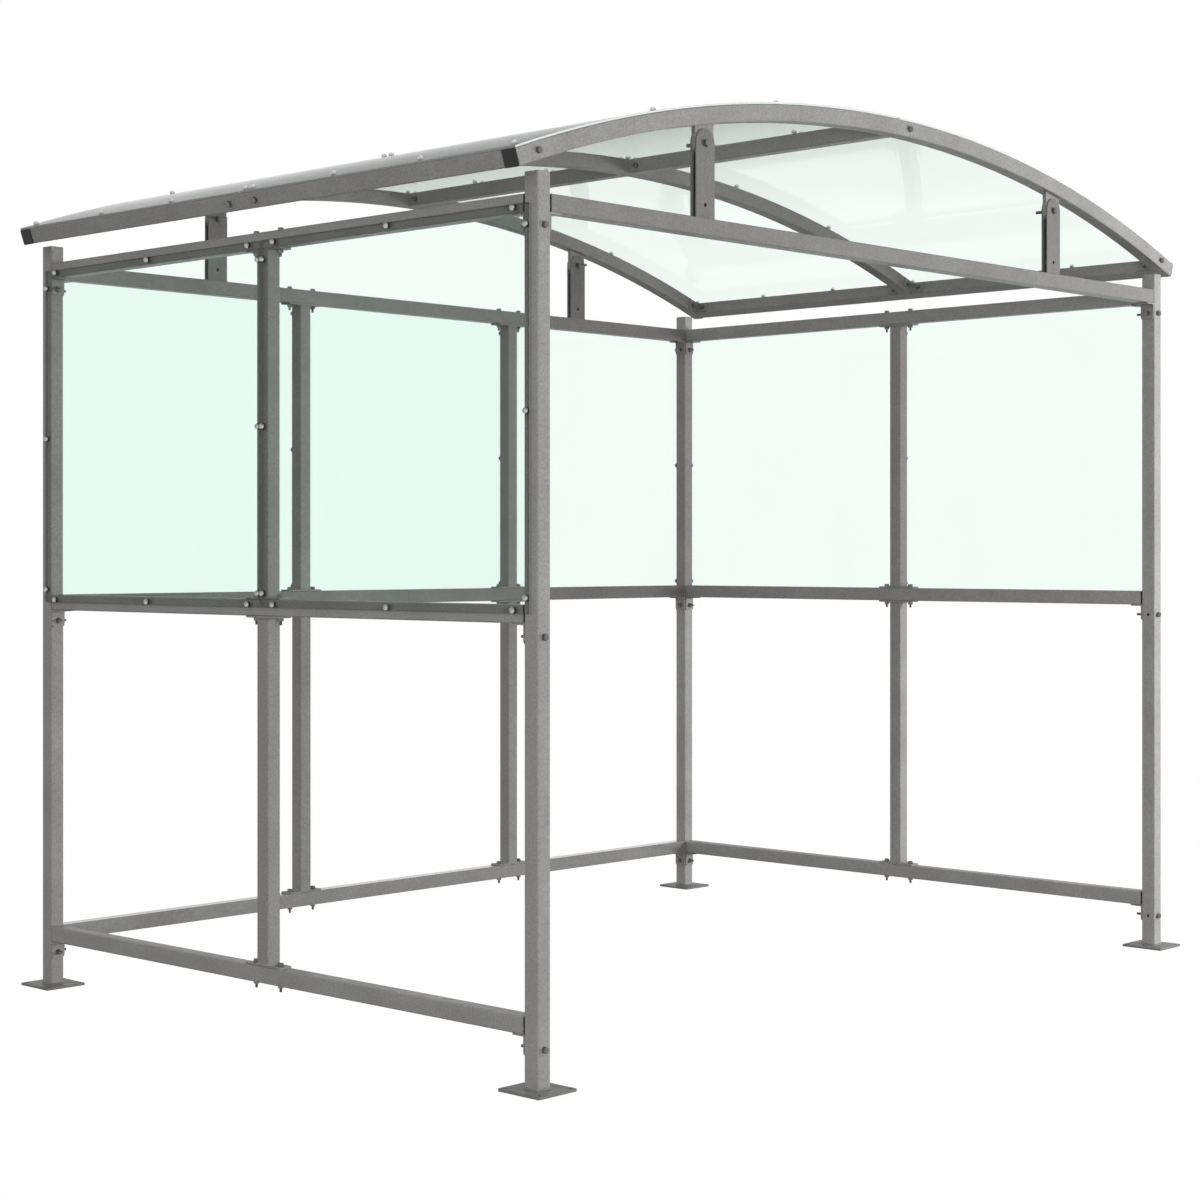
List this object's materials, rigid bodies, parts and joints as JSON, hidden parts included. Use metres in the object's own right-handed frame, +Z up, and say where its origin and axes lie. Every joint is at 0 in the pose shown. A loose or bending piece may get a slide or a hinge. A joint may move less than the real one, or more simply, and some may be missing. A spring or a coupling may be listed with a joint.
{
  "type": "smoking shelter",
  "caption": "Open-fronted smoking shelter: a bolted square-tube frame with clear upper panes on the sides and back, and a curved clear roof carried on arches.",
  "frame": {"origin": "on the floor under the middle of the shelter", "axes": "+X to the right along the open front, +Y from the open front to the back wall, +Z up"},
  "size_m": [3.1596, 2.105, 2.5213],
  "materials": {
    "frame_steel": "satin grey coating on steel tube",
    "wall_pane": "clear sheet with a faint green tint",
    "roof_sheet": "clear curved sheet",
    "end_cap": "black moulded plug"
  },
  "bodies": {
    "root": {"front_left_post": "frame_steel", "front_right_post": "frame_steel", "back_left_post": "frame_steel", "back_right_post": "frame_steel", "base_plates": "frame_steel", "left_bottom_rail": "frame_steel", "left_middle_rail": "frame_steel", "left_top_rail": "frame_steel", "back_bottom_rail": "frame_steel", "back_middle_rail": "frame_steel", "back_top_rail": "frame_steel", "right_bottom_rail": "frame_steel", "right_middle_rail": "frame_steel", "right_top_rail": "frame_steel", "front_top_rail": "frame_steel", "left_mullion": "frame_steel", "right_mullion": "frame_steel", "back_left_mullion": "frame_steel", "back_right_mullion": "frame_steel", "left_brackets": "frame_steel", "back_brackets": "frame_steel", "right_brackets": "frame_steel", "front_brackets": "frame_steel", "front_arch": "frame_steel", "middle_arch": "frame_steel", "back_arch": "frame_steel", "arch_end_caps": "end_cap", "left_eave_beam": "frame_steel", "right_eave_beam": "frame_steel", "ridge_purlin": "frame_steel", "roof_cleats": "frame_steel", "front_roof_uprights": "frame_steel", "back_roof_uprights": "frame_steel", "left_front_pane": "wall_pane", "left_back_pane": "wall_pane", "back_left_pane": "wall_pane", "back_middle_pane": "wall_pane", "back_right_pane": "wall_pane", "right_front_pane": "wall_pane", "right_back_pane": "wall_pane", "front_left_roof_sheet": "roof_sheet", "front_right_roof_sheet": "roof_sheet", "back_left_roof_sheet": "roof_sheet", "back_right_roof_sheet": "roof_sheet"}
  },
  "joints": []
}
